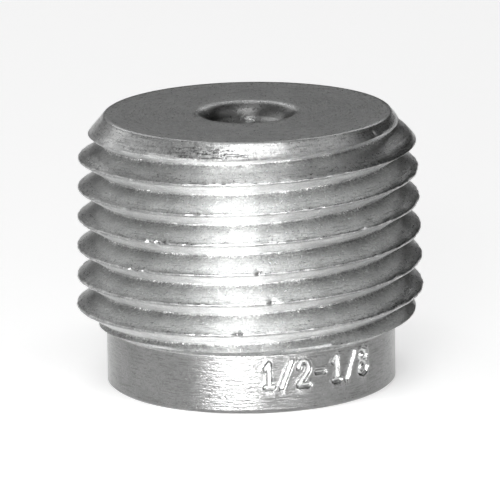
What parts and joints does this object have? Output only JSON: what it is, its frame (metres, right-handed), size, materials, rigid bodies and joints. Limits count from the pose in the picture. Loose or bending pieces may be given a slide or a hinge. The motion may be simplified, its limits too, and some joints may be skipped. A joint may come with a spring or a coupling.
{
  "type": "reducing bushing",
  "caption": "Round steel conduit reducing bushing with a tapered male pipe thread, a plain collar tapped for a smaller conduit, and a rounded wire throat.",
  "frame": {"origin": "centre of the collar's end face, on the axis, which is the face that the bushing stands on", "axes": "+Z along the axis from the collar to the throat's face, which is the end that screws into the hub; -Y faces the picture's camera"},
  "size_m": [0.0212, 0.0212, 0.0166],
  "materials": {
    "zinc_plated_steel": "bright zinc plating over a turned and die-cut surface, a little dull and scuffed"
  },
  "bodies": {
    "root": {"bushing_body": "zinc_plated_steel"}
  },
  "joints": []
}
